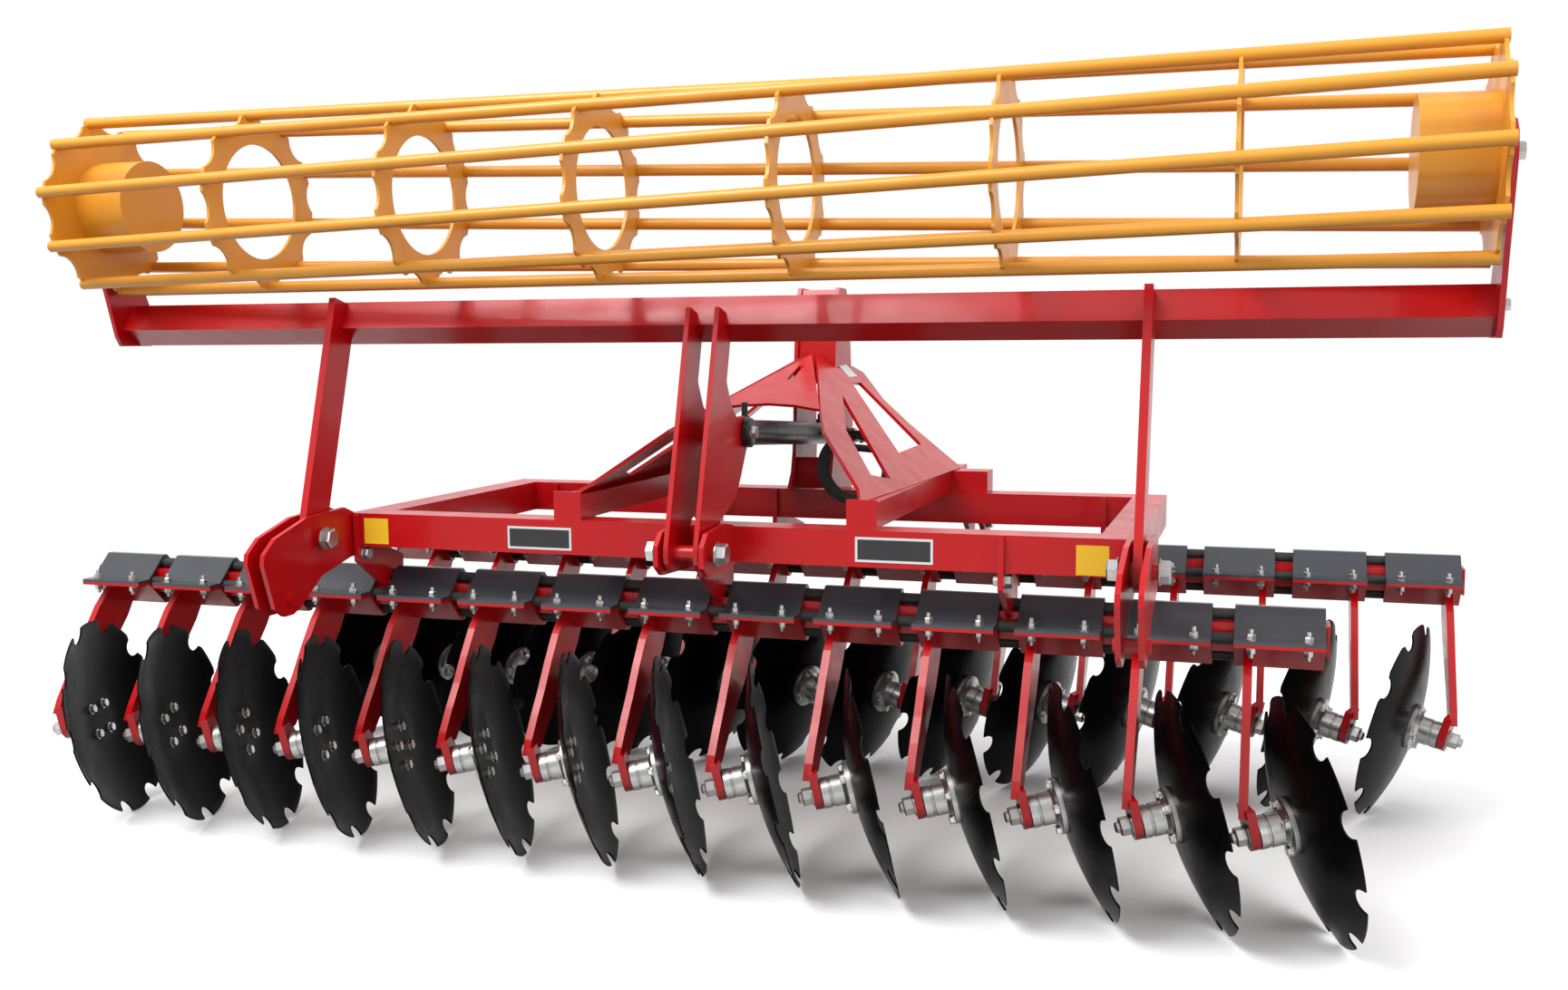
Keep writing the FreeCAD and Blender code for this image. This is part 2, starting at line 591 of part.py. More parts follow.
# The lever's root is drawn about the pivot and its head about the lever's pin, as (Y, Z).
ROOT_LOW = [(42, -22), (82, 22), (114, 68), (172, 88), (228, 114)]
HEAD = [(6, -46), (36, -26), (42, 6), (24, 36), (-14, 44), (-62, 42)]
ROOT_HIGH = [(202, 344), (170, 402), (164, 472), (92, 272)]
LEVER = (about(ROOT_LOW, PIVOT_Y, PIVOT_Z) + [(LEVER_Y - 36, PIVOT_Z + 162)]
         + about(HEAD, LEVER_Y, LEVER_Z) + about(ROOT_HIGH, PIVOT_Y, PIVOT_Z))
LEVER_HEAD = 14
middle_arms = []
for x in (-MIDDLE_X - MIDDLE_THICK, MIDDLE_X):
    plate = plate_yz(arm_outline(MIDDLE_LENGTH), x, x + MIDDLE_THICK)
    lever = plate_yz(LEVER, x, x + MIDDLE_THICK)
    whole = joined([plate, lever]).cut(roller_beam_shape).cut(bores)
    head_x = x - LEVER_HEAD if x < 0 else x + MIDDLE_THICK
    head = rod_x(LEVER_Y, LEVER_Z, head_x, head_x + LEVER_HEAD, 22)
    middle_arms.append(joined([max(whole.Solids, key=lambda s: s.Volume), head]))
save("roller_middle_arm", group(middle_arms))

# About the roller beam for the foot, and about the axle for the head, as (Y, Z).
END_FOOT = [(34, 112), (70, 32), (58, -58), (-56, -58), (-72, -33), (-106, 90)]
END_HEAD = [(-62, -29), (-65, 0), (-54, 36), (-26, 61), (0, 67), (32, 59), (58, 33), (65, 3), (78, -49)]
END_BRACKET = about(END_FOOT, ROLLER_BEAM_Y, ROLLER_BEAM_Z) + about(END_HEAD, ROLLER_Y, ROLLER_Z)
end_brackets = []
for x in (-ROLLER_BEAM_HALF - END_THICK, ROLLER_BEAM_HALF):
    plate = plate_yz(END_BRACKET, x, x + END_THICK)
    bore = rod_x(ROLLER_Y, ROLLER_Z, x - 1, x + END_THICK + 1, AXLE_RADIUS + PIVOT_PLAY)
    plate = plate.cut(bore)
    end_brackets.append(plate)
save("roller_end_brackets", group(end_brackets))

# The roller: skewed bars through scalloped rings.
def bar_point(angle, x):
    theta = math.radians(angle)
    return V(x, ROLLER_Y - BAR_CIRCLE * math.sin(theta), ROLLER_Z + BAR_CIRCLE * math.cos(theta))


bars = []
seats = []
for k in range(BAR_COUNT):
    angle = BAR_START + 360 / BAR_COUNT * k
    left_tip = bar_point(angle, -ROLLER_HALF)
    right_tip = bar_point(angle + BAR_TWIST, ROLLER_HALF)
    bars.append(rod(left_tip, right_tip, BAR_RADIUS))
    seats.append(rod(left_tip, right_tip, BAR_RADIUS + 0.3))
save("roller_bars", group(bars))

rings = []
bar_step = 360 / BAR_COUNT
bay = (2 * ROLLER_HALF - RING_THICK - 2 * RING_INSET) / (RING_COUNT - 1)
for k in range(RING_COUNT):
    x = -ROLLER_HALF + RING_INSET + bay * k
    ring = rod_x(ROLLER_Y, ROLLER_Z, x, x + RING_THICK, RING_RADIUS)
    share = (x + ROLLER_HALF) / (2 * ROLLER_HALF)
    ends = k in (0, RING_COUNT - 1)
    if not ends:
        ring = ring.cut(rod_x(ROLLER_Y, ROLLER_Z, x - 1, x + RING_THICK + 1, RING_HOLE))
    for m in range(BAR_COUNT):
        angle = BAR_START + BAR_TWIST * share + bar_step * (m + 0.5)
        theta = math.radians(angle)
        y = ROLLER_Y - SCALLOP_CIRCLE * math.sin(theta)
        z = ROLLER_Z + SCALLOP_CIRCLE * math.cos(theta)
        ring = ring.cut(rod_x(y, z, x - 1, x + RING_THICK + 1, SCALLOP_RADIUS))
    for seat in seats:
        ring = ring.cut(seat)
    ring = max(ring.Solids, key=lambda s: s.Volume)
    if ends:
        inward = 1 if k == 0 else -1
        face = x + RING_THICK if k == 0 else x
        drum_x = face if inward > 0 else face - DRUM_LENGTH
        drum = rod_x(ROLLER_Y, ROLLER_Z, drum_x, drum_x + DRUM_LENGTH, DRUM_RADIUS)
        hollow_x = drum_x if inward > 0 else drum_x + DRUM_WALL
        drum = drum.cut(rod_x(ROLLER_Y, ROLLER_Z, hollow_x, hollow_x + DRUM_LENGTH - DRUM_WALL,
                              DRUM_RADIUS - DRUM_WALL))
        stub_x = x - AXLE_STUB if inward > 0 else x + RING_THICK
        stub = rod_x(ROLLER_Y, ROLLER_Z, stub_x, stub_x + AXLE_STUB, AXLE_RADIUS)
        ring = joined([ring, drum, stub])
    rings.append(ring)
save("roller_rings", group(rings))

# Cylinder from the mast to the lever of the middle arm, drawn retracted.
anchor = V(0, ANCHOR_Y, ANCHOR_Z)
lever_pin = V(0, LEVER_Y, LEVER_Z)
line = lever_pin - anchor
reach = line.Length
line.normalize()
half_eye = EYE_WIDTH / 2
barrel_eye = rod_x(ANCHOR_Y, ANCHOR_Z, -half_eye, half_eye, EYE_RADIUS)
barrel_end = reach - BARREL_STOP
barrel = rod(anchor + line * 20, anchor + line * barrel_end, BARREL_RADIUS)
barrel = joined([barrel, barrel_eye])
barrel = barrel.cut(rod_x(ANCHOR_Y, ANCHOR_Z, -EYE_WIDTH, EYE_WIDTH, ANCHOR_RADIUS + ROD_GAP))
rod_bore = rod(anchor + line * 60, anchor + line * (barrel_end + 1), ROD_RADIUS + ROD_GAP)
save("cylinder_barrel", barrel.cut(rod_bore))
rod_eye = rod_x(LEVER_Y, LEVER_Z, -half_eye, half_eye, EYE_RADIUS)
square_up = V(0, -line.z, line.y)
eye_points = [lever_pin - line * EYE_BLOCK + square_up * EYE_RADIUS, lever_pin + square_up * EYE_RADIUS,
              lever_pin - square_up * EYE_RADIUS, lever_pin - line * EYE_BLOCK - square_up * EYE_RADIUS]
block = plate_yz([(p.y, p.z) for p in eye_points], -half_eye, half_eye)
save("cylinder_eye", joined([rod_eye, block]))
save("cylinder_rod", rod(anchor + line * 70, lever_pin - line * EYE_BLOCK, ROD_RADIUS))
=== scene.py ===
# %% [markdown]
# This lesson dresses a disc tiller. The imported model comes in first, as a fixed frame. It could be
# drawn again here, but then nothing would be sure to fit, so each of its pieces keeps its place
# and what this script adds is set on it, in metres.

# %% Load the frame
import bpy
import math
from mathutils import Matrix, Vector


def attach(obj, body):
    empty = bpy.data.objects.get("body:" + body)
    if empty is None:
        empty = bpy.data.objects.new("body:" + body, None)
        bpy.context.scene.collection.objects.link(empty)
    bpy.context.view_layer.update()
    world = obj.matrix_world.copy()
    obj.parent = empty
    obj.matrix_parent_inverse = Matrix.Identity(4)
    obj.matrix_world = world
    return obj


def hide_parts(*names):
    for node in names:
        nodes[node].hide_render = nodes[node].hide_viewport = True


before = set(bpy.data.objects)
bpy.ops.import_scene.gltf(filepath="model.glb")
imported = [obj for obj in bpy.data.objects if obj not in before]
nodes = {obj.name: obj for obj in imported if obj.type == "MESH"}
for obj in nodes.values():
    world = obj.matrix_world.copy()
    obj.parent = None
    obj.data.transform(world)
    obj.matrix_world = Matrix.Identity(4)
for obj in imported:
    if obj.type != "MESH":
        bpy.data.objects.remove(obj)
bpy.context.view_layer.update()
scene = bpy.context.scene
print("CAD nodes:", len(nodes))

# %% [markdown]
# The machine was drawn about the centre plane of its frame, with the rear row's axle tabs at
# Y = 0, and then moved so that the middle of its box is the origin. Places in this script are
# written as they were drawn, and this helper moves them the same way. One value is easier to keep
# true than the same sum done in fifty places.

# %% The drawing's own place
SHIFT = Vector((0.071, -0.5255, 0.0))


def drawn(x, y, z):
    """A point of the drawing, in the frame's place."""
    return Vector((x, y, z)) + SHIFT


print("origin of the drawing:", [round(c, 4) for c in drawn(0, 0, 0)])

# %% [markdown]
# Real paint isn't one flat value: it shines a little more here and a little less there, and dust
# and thin spots change its colour. A photograph of paint could give that, but it would show a
# seam somewhere. A noise pattern has no seam, works on any shape and costs one node, so it steers
# the roughness and, where asked, the colour. What is the same all over stays on the shader.

# %% A finish with a little life
def finish_of(name, color, rough, metal=0.0, coat=0.0, speck=0.06, scale=14.0, mottle=0.0, shine=0.5):
    """One procedural finish: roughness wanders by speck, and the colour darkens by mottle."""
    material = bpy.data.materials.new(name)
    material.use_nodes = True
    tree = material.node_tree
    shader = tree.nodes["Principled BSDF"]
    shader.inputs["Metallic"].default_value = metal
    shader.inputs["Specular IOR Level"].default_value = shine
    shader.inputs["Coat Weight"].default_value = coat
    shader.inputs["Coat Roughness"].default_value = 0.08
    place = tree.nodes.new("ShaderNodeTexCoord")
    noise = tree.nodes.new("ShaderNodeTexNoise")
    noise.inputs["Scale"].default_value = scale
    noise.inputs["Detail"].default_value = 6.0
    tree.links.new(place.outputs["Object"], noise.inputs["Vector"])
    spread = tree.nodes.new("ShaderNodeMapRange")
    spread.inputs["From Min"].default_value = 0.3
    spread.inputs["From Max"].default_value = 0.7
    spread.inputs["To Min"].default_value = max(0.02, rough - speck)
    spread.inputs["To Max"].default_value = rough + speck
    tree.links.new(noise.outputs["Fac"], spread.inputs["Value"])
    tree.links.new(spread.outputs["Result"], shader.inputs["Roughness"])
    if mottle:
        mix = tree.nodes.new("ShaderNodeMix")
        mix.data_type = "RGBA"
        mix.inputs["A"].default_value = (*color, 1)
        mix.inputs["B"].default_value = (*[c * (1 - mottle) for c in color], 1)
        tree.links.new(noise.outputs["Fac"], mix.inputs["Factor"])
        tree.links.new(mix.outputs["Result"], shader.inputs["Base Color"])
    else:
        shader.inputs["Base Color"].default_value = (*color, 1)
    return material


print("materials so far:", len(bpy.data.materials))

# %% [markdown]
# The machine wears five paints, two metals and rubber, and its plates and stickers add three
# finishes more. A deep red needs almost no green or blue in its base, because the pale sky in its
# gloss already adds some. The discs keep their black primer, with hardly any gloss, so that they
# stay dark against a white floor.

# %% The finishes
RED = finish_of("red_paint", (0.50, 0.0010, 0.0035), 0.33, coat=0.15, mottle=0.12, shine=0.35)
SLATE = finish_of("slate_paint", (0.034, 0.039, 0.050), 0.34, coat=0.3, mottle=0.2)
YELLOW = finish_of("roller_paint", (0.78, 0.335, 0.022), 0.40, coat=0.15, mottle=0.15)
BLACK = finish_of("black_paint", (0.008, 0.008, 0.009), 0.36, coat=0.05, shine=0.3)
DISC = finish_of("disc_black", (0.0020, 0.0020, 0.0024), 0.30, speck=0.05, mottle=0.3, shine=0.04)
STEEL = finish_of("bare_steel", (0.62, 0.62, 0.60), 0.28, metal=1.0, scale=40.0)
ZINC = finish_of("zinc", (0.46, 0.46, 0.45), 0.34, metal=0.95, scale=60.0, mottle=0.3)
RUBBER = finish_of("rubber", (0.018, 0.018, 0.018), 0.7, scale=90.0)
LABEL = finish_of("label_yellow", (0.85, 0.52, 0.02), 0.4)
PLATE = finish_of("nameplate_black", (0.012, 0.012, 0.014), 0.3)
SILVER = finish_of("label_silver", (0.66, 0.67, 0.68), 0.3, metal=0.5)
print("materials:", len(bpy.data.materials))

# %% [markdown]
# The CAD pieces keep their shapes. Each takes the finish that its place in the machine asks for,
# read from its name. A sharp edge on a plate catches no light at all, while a real one is ground
# or worn. The mesh stays as it is, so red and slate pieces get a narrow bevel modifier.

# %% Dress the CAD pieces
FINISHES = (
    ("_clamp_covers", SLATE),
    ("_rubber_rolls", RUBBER),
    ("roller_bars", YELLOW),
    ("roller_rings", YELLOW),
    ("cylinder_barrel", BLACK),
    ("cylinder_eye", BLACK),
    ("cylinder_rod", STEEL),
    ("hose_fittings", ZINC),
    ("hose_", RUBBER),
    ("lower_link_pins", STEEL),
    ("disc_front_", DISC),
    ("disc_rear_", DISC),
)
EDGE_WIDTH = 0.0018


def finish_for(name):
    """The finish of a CAD piece: the last row whose words its name has, and red for the rest."""
    material = RED
    for words, finish in FINISHES:
        if words in name and not name.endswith(("_beam", "_arms")):
            material = finish
    return material


for name, piece in nodes.items():
    material = finish_for(name)
    piece.data.materials.clear()
    piece.data.materials.append(material)
    if material in (RED, SLATE):
        bevel = piece.modifiers.new("edge", "BEVEL")
        bevel.width = EDGE_WIDTH
        bevel.segments = 2
        bevel.limit_method = "ANGLE"
        bevel.angle_limit = math.radians(32)
print("dressed:", len(nodes))

# %% [markdown]
# Hubs, nuts, studs and couplers are all turned on a lathe, so one builder turns an outline about
# an axis. Blender's screw modifier does that too, but plain lists of corners and faces can be
# moved and put together by the hundred before any of them becomes an object.

# %% Turned shapes
def turned(profile, sides=48):
    """Corners and faces of an outline of (radius, height) points turned about the local Z."""
    corners = []
    faces = []
    for radius, height in profile:
        for k in range(sides):
            angle = 2 * math.pi * k / sides
            corners.append(Vector((radius * math.cos(angle), radius * math.sin(angle), height)))
    for level in range(len(profile) - 1):
        for k in range(sides):
            a = level * sides + k
            b = level * sides + (k + 1) % sides
            faces.append((a, b, b + sides, a + sides))
    last = (len(profile) - 1) * sides
    faces.append(tuple(reversed(range(sides))))
    faces.append(tuple(range(last, last + sides)))
    return corners, faces


def set_on(shape, place):
    """The same shape, carried to a place given as a matrix."""
    corners, faces = shape
    return [place @ c for c in corners], faces


def aimed(point, axis, turn=0.0):
    """A place at a point whose local Z runs along an axis."""
    axis = Vector(axis).normalized()
    quarter = axis.to_track_quat("Z", "Y").to_matrix().to_4x4()
    return Matrix.Translation(Vector(point)) @ quarter @ Matrix.Rotation(turn, 4, "Z")


def turned_over(shape):
    """The same shape with its faces looking the other way, for an outline drawn downwards."""
    corners, faces = shape
    return corners, [tuple(reversed(face)) for face in faces]


print("a turned ring has", len(turned([(1, 0), (1, 1)])[0]), "corners")

# %% [markdown]
# A bolt head is a six-sided turned shape on a round washer. Its top edge is cut back a little, as
# on a real head. A thread inside the hole would never show, so there is none.

# %% A bolt
WASHER_THICK = 0.0022


def bolt(across, height):
    """A hexagon head on a washer, standing on local Z = 0, as two shapes."""
    r = across / 2 / math.cos(math.pi / 6)
    ring = r * 1.7
    washer = turned([(ring * 0.62, -0.0005), (ring * 0.66, 0.0), (ring * 0.66, WASHER_THICK),
                     (ring * 0.6, 0.0028)], 20)
    head = turned([(r, 0.0020), (r, 0.0020 + height * 0.85), (r * 0.86, 0.0020 + height)], 6)
    return washer, head


print("a bolt has", sum(len(shape[1]) for shape in bolt(0.02, 0.01)), "faces")

# %% [markdown]
# Many small things share one object, because a thousand objects are slow to handle. Their shapes
# are merged first, and each group of faces keeps its own finish. Faces that meet at more than a
# set angle stay sharp, and the rest are shaded smooth.

# %% From shapes to a piece
def merged(parts):
    """One shape out of many."""
    corners = []
    faces = []
    for part_corners, part_faces in parts:
        start = len(corners)
        corners.extend(part_corners)
        faces.extend(tuple(i + start for i in face) for face in part_faces)
    return corners, faces


def piece_from(name, groups, body, smooth=35):
    """One object out of (shape, material) groups that rides on a body."""
    corners, faces = merged([shape for shape, _ in groups])
    mesh = bpy.data.meshes.new(name)
    mesh.from_pydata(corners, [], faces)
    slots = []
    for index, (shape, material) in enumerate(groups):
        mesh.materials.append(material)
        slots.extend([index] * len(shape[1]))
    mesh.polygons.foreach_set("material_index", slots)
    mesh.polygons.foreach_set("use_smooth", [True] * len(faces))
    mesh.set_sharp_from_angle(angle=math.radians(smooth))
    mesh.update()
    thing = bpy.data.objects.new(name, mesh)
    scene.collection.objects.link(thing)
    if body:
        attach(thing, body)
    return thing


print("corners of two merged rings:", len(merged([turned([(1, 0), (1, 1)])] * 2)[0]))

# %% [markdown]
# A tiller's disc is a pressed dish with round notches in its rim, which grip the ground and turn
# it. The notches could be cut with a boolean, but that leaves long thin faces in a curved sheet.
# Here the sheet is laid out in rings and columns, and the columns stand closer together at each
# notch, so that the last rings follow its round edge.

# %% The rim and the dish
RIM, FLAT, BACK, RIM_AT = 0.280, 0.080, 0.087, 0.136
NOTCHES = 10
NOTCH, NOTCH_AT = 0.030, 0.276
# Columns from the middle of a notch to its side, and from one notch to the next.
COLUMNS = 8
NOTCH_STEP = 2 * math.pi / NOTCHES


def rim_at(angle):
    """The radius of the rim at an angle, notches included."""
    off = (angle + NOTCH_STEP / 2) % NOTCH_STEP - NOTCH_STEP / 2
    inside = NOTCH ** 2 - (NOTCH_AT * math.sin(off)) ** 2
    if inside <= 0:
        return RIM
    return min(RIM, NOTCH_AT * math.cos(off) - math.sqrt(inside))


def dish_height(radius):
    """How far the back of the dish stands from the tab, flat in the middle and curved outside."""
    share = max(0.0, (radius ** 2 - FLAT ** 2) / (RIM ** 2 - FLAT ** 2))
    return BACK + (RIM_AT - BACK) * share


def column_angles():
    """Angles of the columns: crowded at both sides of each notch, even in between."""
    widest = math.asin(NOTCH / NOTCH_AT)
    gap = NOTCH_STEP - 2 * widest
    angles = []
    for k in range(NOTCHES):
        middle = 2 * math.pi * k / NOTCHES
        for m in range(-COLUMNS, COLUMNS + 1):
            angles.append(middle + widest * math.sin(math.pi / 2 * m / COLUMNS))
        for m in range(1, COLUMNS):
            angles.append(middle + widest + gap * m / COLUMNS)
    return angles


print("columns:", len(column_angles()))

# %% [markdown]
# Two such sheets lie one over the other, 5 mm apart, and a band joins their rims. The sheet thins
# a little at the very edge, where a disc is ground.

# %% The notched sheet
SHEET = 0.0052
EDGE_BACK = 0.0015
RIM_THIN = 0.75
RINGS = (0.03, 0.06, 0.08, 0.11, 0.14, 0.17, 0.20, 0.225, 0.24)
OUTER_SHARES = (0.45, 0.85, 1.0)


def disc_sheet():
    """Corners and faces of one disc about the local Z axis."""
    angles = column_angles()
    corners = []
    for side in (0, 1):
        lift = SHEET * side
        for radius in RINGS:
            for angle in angles:
                corners.append(Vector((radius * math.cos(angle), radius * math.sin(angle),
                                       dish_height(radius) + lift)))
        for share in OUTER_SHARES:
            for angle in angles:
                edge = rim_at(angle) - EDGE_BACK * (0 if share < 1 else side)
                radius = RINGS[-1] + (edge - RINGS[-1]) * share
                thin = 1.0 if share < 1 else RIM_THIN
                corners.append(Vector((radius * math.cos(angle), radius * math.sin(angle),
                                       dish_height(radius) + lift * thin)))
    count = len(angles)
    rows = len(RINGS) + len(OUTER_SHARES)
    faces = []
    for side in (0, 1):
        start = side * rows * count
        for row in range(rows - 1):
            for k in range(count):
                a = start + row * count + k
                b = start + row * count + (k + 1) % count
                face = (a, b, b + count, a + count)
                faces.append(face if side else tuple(reversed(face)))
    for k in range(count):
        a = (rows - 1) * count + k
        b = (rows - 1) * count + (k + 1) % count
        faces.append((a, b, b + rows * count, a + rows * count))
    faces.append(tuple(reversed(range(0, count))))
    faces.append(tuple(range(rows * count, rows * count + count)))
    return corners, faces


print("sheet corners:", len(disc_sheet()[0]))

# %% [markdown]
# The hub is a bare casting between the tab and the disc: a narrow neck with a seal groove and a
# wide flange. Four bolts go through the flange and the disc, so there is a head on the hollow
# side and a nut on the other. The hub turns with its disc, so both are one piece.

# %% The hub and its bolts
HUB_PROFILE = [(0.030, 0.0104), (0.0375, 0.0125), (0.0375, 0.030), (0.0355, 0.032), (0.0355, 0.035),
               (0.038, 0.037), (0.038, 0.064), (0.046, 0.072), (0.0625, 0.0735), (0.065, 0.0755),
               (0.065, 0.0865)]
BOLT_CIRCLE = 0.052
DISC_FACE, FLANGE_FACE = 0.0922, 0.0735
# Width and height of the bolts' heads and of their nuts.
HUB_HEAD, HUB_NUT = (0.022, 0.011), (0.020, 0.010)

fasteners = []
for k in range(4):
    angle = math.pi / 4 + math.pi / 2 * k
    x = BOLT_CIRCLE * math.cos(angle)
    y = BOLT_CIRCLE * math.sin(angle)
    for shape in bolt(*HUB_HEAD):
        fasteners.append(set_on(shape, Matrix.Translation((x, y, DISC_FACE))))
    for shape in bolt(*HUB_NUT):
        fasteners.append(set_on(shape, aimed((x, y, FLANGE_FACE), (0, 0, -1))))
disc_groups = [(disc_sheet(), DISC), (turned(HUB_PROFILE, 40), ZINC), (merged(fasteners), STEEL)]
print("disc corners:", sum(len(shape[0]) for shape, _ in disc_groups))

# %% [markdown]
# Each row holds 14 discs, 250 mm apart, and leans them by a sweep and a tilt. The rear row looks
# one way and the front row the other, so that their side forces cancel. A place for a disc is a
# matrix whose third column is the hub's axis.

# %% Places in the rows
SWEEP, TILT = math.radians(18.4), math.radians(12.6)
HUB_Z = RIM * math.cos(TILT) - RIM_AT * math.sin(TILT)
PITCH = 0.250
DISCS_IN_ROW = 14
# Name, X of the first tab, Y of the tabs, +1 or -1 for the way the row looks.
ROWS = (
    ("rear", -1.942, 0.0, 1),
    ("front", -1.450, 0.975, -1),
)


def row_place(side, first_x, row_y, number):
    """The place of a disc of a row: across the tab, up the tab and along the hub's axis."""
    axis = Vector((side * math.cos(TILT) * math.cos(SWEEP), math.cos(TILT) * math.sin(SWEEP),
                   math.sin(TILT)))
    up = (Vector((0, 0, 1)) - axis * axis.z).normalized()
    turn = Matrix((up.cross(axis), up, axis)).transposed().to_4x4()
    return Matrix.Translation(drawn(first_x + PITCH * number, row_y, HUB_Z)) @ turn


print("hub height:", round(HUB_Z, 4))

# %% [markdown]
# All 28 discs share one mesh, which keeps the file small, and each is its own object that turns
# on its own body and stands for the plain CAD disc. They came to rest at different turns.

# %% All the discs
TURNS = (0, 11, 25, 4, 31, 17, 8, 29, 14, 2, 22, 33, 6, 19)
FRONT_TURN = 13

disc_mesh = None
for row, first_x, row_y, side in ROWS:
    for number in range(DISCS_IN_ROW):
        name = "disc_%s_%02d" % (row, number + 1)
        if disc_mesh is None:
            thing = piece_from(name + "_look", disc_groups, None)
            disc_mesh = thing.data
        else:
            thing = bpy.data.objects.new(name + "_look", disc_mesh)
            scene.collection.objects.link(thing)
        turn = TURNS[number] + (0 if side > 0 else FRONT_TURN)
        place = row_place(side, first_x, row_y, number)
        thing.matrix_world = place @ Matrix.Rotation(math.radians(turn), 4, "Z")
        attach(thing, name + "_body")
        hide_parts(name)
print("discs:", DISCS_IN_ROW * len(ROWS))

# %% [markdown]
# Two long bolts hold each flange of a clamp together through its cover, so that the rubber inside
# is squeezed. From above one sees a nut with the stud's end, and from below a head. The flanges
# are flat, so their height is one value.

# %% One clamp bolt
PAD_OFFSET, PAD_Y = 0.050, 0.250
CLAMP_DX, CLAMP_DY = 0.062, 0.095
FLANGE_Z, FLANGES_THICK = 0.648, 0.016
# Width and height of the nuts above and of the heads below.
CLAMP_NUT, CLAMP_HEAD = (0.019, 0.012), (0.019, 0.014)
STUD = [(0.0060, 0.010), (0.0060, 0.023), (0.0050, 0.025)]
TIP = [(0.0058, 0.0), (0.0058, 0.024), (0.0048, 0.026)]


def clamp_bolt(spot, number):
    """The shapes of one bolt that stands on the flanges at a spot."""
    under = spot - Vector((0, 0, FLANGES_THICK))
    shapes = []
    for shape in bolt(*CLAMP_NUT):
        shapes.append(set_on(shape, aimed(spot, (0, 0, 1), 0.3 * number)))
    shapes.append(set_on(turned(STUD, 12), aimed(spot, (0, 0, 1))))
    for shape in bolt(*CLAMP_HEAD):
        shapes.append(set_on(shape, aimed(under, (0, 0, -1), 0.2 * number)))
    shapes.append(set_on(turned(TIP, 12), aimed(under, (0, 0, -1))))
    return shapes


print("shapes in a clamp bolt:", len(clamp_bolt(drawn(0, 0, 0), 0)))

# %% [markdown]
# The hub turns on an axle that a thick nut holds outside the tab. The CAD nut is plain and
# painted with the arm, so a bare one with a rounded end is slipped over it. The clamp bolts and
# axle nuts of a row are one piece, which stays with the frame.

# %% Clamp bolts and axle nuts, row by row
AXLE_WASHER = [(0.026, -0.0100), (0.026, -0.0125), (0.024, -0.0135)]
AXLE_NUT = [(0.0218, -0.0140), (0.0218, -0.0340), (0.0195, -0.0368), (0.0135, -0.0370),
            (0.0130, -0.0440), (0.0090, -0.0475)]

for row, first_x, row_y, side in ROWS:
    bolts = []
    nuts = []
    for number in range(DISCS_IN_ROW):
        pad_x = first_x + PITCH * number + side * PAD_OFFSET
        for dx in (-CLAMP_DX, CLAMP_DX):
            for dy in (-CLAMP_DY, CLAMP_DY):
                bolts.extend(clamp_bolt(drawn(pad_x + dx, row_y + PAD_Y + dy, FLANGE_Z), number))
        place = row_place(side, first_x, row_y, number)
        nuts.append(turned_over(set_on(turned(AXLE_WASHER, 24), place)))
        nuts.append(turned_over(set_on(turned(AXLE_NUT, 6), place)))
    thing = piece_from(row + "_clamp_bolts", [(merged(bolts), ZINC), (merged(nuts), ZINC)], "frame")
print("bolted rows:", len(ROWS))

# %% [markdown]
# Larger bolts hold the roller's pivots, the hangers and the roller's bearings. Each stands on one
# face of a plate, so a table gives its point, the way it looks and its width. Those on the
# roller's frame ride with it.

# %% Pivot and bracket bolts
# Body, point of the drawing, axis, width across the head.
BOLTS = (
    ("frame", (-1.104, -0.052, 0.828), (-1, 0, 0), 0.046),
    ("frame", (-1.016, -0.052, 0.828), (1, 0, 0), 0.046),
    ("frame", (1.104, -0.052, 0.828), (1, 0, 0), 0.046),
    ("frame", (1.016, -0.052, 0.828), (-1, 0, 0), 0.046),
    ("frame", (-0.078, -0.052, 0.828), (-1, 0, 0), 0.046),
    ("frame", (0.078, -0.052, 0.828), (1, 0, 0), 0.046),
    ("frame", (-1.024, 0.112, 0.766), (-1, 0, 0), 0.026),
    ("frame", (-1.010, 0.112, 0.766), (1, 0, 0), 0.030),
    ("frame", (-0.024, 0.112, 0.766), (-1, 0, 0), 0.026),
    ("frame", (-0.010, 0.112, 0.766), (1, 0, 0), 0.030),
    ("frame", (0.726, 0.112, 0.766), (-1, 0, 0), 0.026),
    ("frame", (0.740, 0.112, 0.766), (1, 0, 0), 0.030),
    ("roller_frame", (-1.782, 0.042, 1.709), (-1, 0, 0), 0.036),
    ("roller_frame", (1.782, 0.042, 1.709), (1, 0, 0), 0.036),
    ("roller_frame", (-1.782, 0.110, 1.400), (-1, 0, 0), 0.024),
    ("roller_frame", (1.782, 0.110, 1.400), (1, 0, 0), 0.024),
)
by_body = {}
for body, point, axis, width in BOLTS:
    for shape in bolt(width, width * 0.5):
        by_body.setdefault(body, []).append(set_on(shape, aimed(drawn(*point), axis, 0.2)))
for body, parts in by_body.items():
    thing = piece_from(body + "_bolts", [(merged(parts), ZINC)], body)
print("bolts:", len(BOLTS))

# %% [markdown]
# Two hydraulic hoses leave the fittings on the mast, cross to the peg under the right fin and
# hang there in a coil, turn beside turn, as long as real ones. A row of straight tubes would look
# like bent wire, so each hose is one smooth line whose control points are its route. The route to
# the coil is listed, and the turns come from a loop.

# %% The hoses' routes
HOSE = 0.0195
COIL_X, COIL_Z, COIL_R = 0.185, 0.965, 0.099
TURN_PITCH = 0.040
# The first turn comes in from this much further forward, over this many degrees.
ENTRY, ENTRY_ANGLE = 0.045, 120
